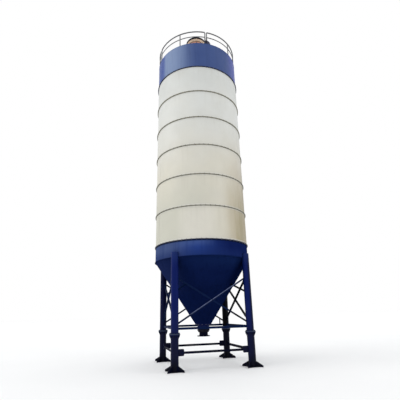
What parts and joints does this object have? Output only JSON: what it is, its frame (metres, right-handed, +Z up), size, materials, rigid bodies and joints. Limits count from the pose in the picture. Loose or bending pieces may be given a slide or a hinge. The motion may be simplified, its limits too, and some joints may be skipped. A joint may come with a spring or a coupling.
{
  "type": "cement silo",
  "caption": "Tall round steel silo with a cone hopper, on four braced pipe legs with finned feet, with a handrail and a dust filter on its roof.",
  "frame": {"origin": "on the ground at the middle of the four feet, under the silo's axis", "axes": "+Z up along the silo's axis, +X and +Y along the sides of the leg square, the front is the -Y side"},
  "size_m": [3.16, 3.16, 12.83],
  "materials": {
    "white_paint": "weathered off-white paint with dust and run marks",
    "blue_paint": "semi-gloss dark blue paint",
    "galvanised_steel": "dull galvanised tube",
    "black_rubber": "matt black",
    "orange_paint": "orange paint"
  },
  "bodies": {
    "root": {"leg_foot_front_left": "blue_paint", "leg_post_front_left": "blue_paint", "hopper_strut_front_left": "blue_paint", "leg_foot_front_right": "blue_paint", "leg_post_front_right": "blue_paint", "hopper_strut_front_right": "blue_paint", "leg_foot_back_right": "blue_paint", "leg_post_back_right": "blue_paint", "hopper_strut_back_right": "blue_paint", "leg_foot_back_left": "blue_paint", "leg_post_back_left": "blue_paint", "hopper_strut_back_left": "blue_paint", "brace_front_outer": "blue_paint", "brace_front_inner": "blue_paint", "tie_upper_front": "blue_paint", "tie_lower_front": "blue_paint", "brace_right_outer": "blue_paint", "brace_right_inner": "blue_paint", "tie_upper_right": "blue_paint", "tie_lower_right": "blue_paint", "brace_back_outer": "blue_paint", "brace_back_inner": "blue_paint", "tie_upper_back": "blue_paint", "tie_lower_back": "blue_paint", "brace_left_outer": "blue_paint", "brace_left_inner": "blue_paint", "tie_upper_left": "blue_paint", "tie_lower_left": "blue_paint", "tie_link_back": "blue_paint", "hopper_cone": "blue_paint", "outlet_spigot": "blue_paint", "outlet_valve_ring": "black_rubber", "outlet_neck": "blue_paint", "shell_skirt": "blue_paint", "shell_band_1": "white_paint", "shell_band_2": "white_paint", "shell_band_3": "white_paint", "shell_band_4": "white_paint", "shell_band_5": "white_paint", "shell_band_6": "white_paint", "shell_top": "blue_paint", "roof_plate": "blue_paint", "handrail_section_1": "galvanised_steel", "handrail_section_2": "galvanised_steel", "handrail_section_3": "galvanised_steel", "handrail_section_4": "galvanised_steel", "handrail_section_5": "galvanised_steel", "filter_body": "orange_paint", "filter_lid": "black_rubber", "filter_fan_casing": "blue_paint"}
  },
  "joints": []
}
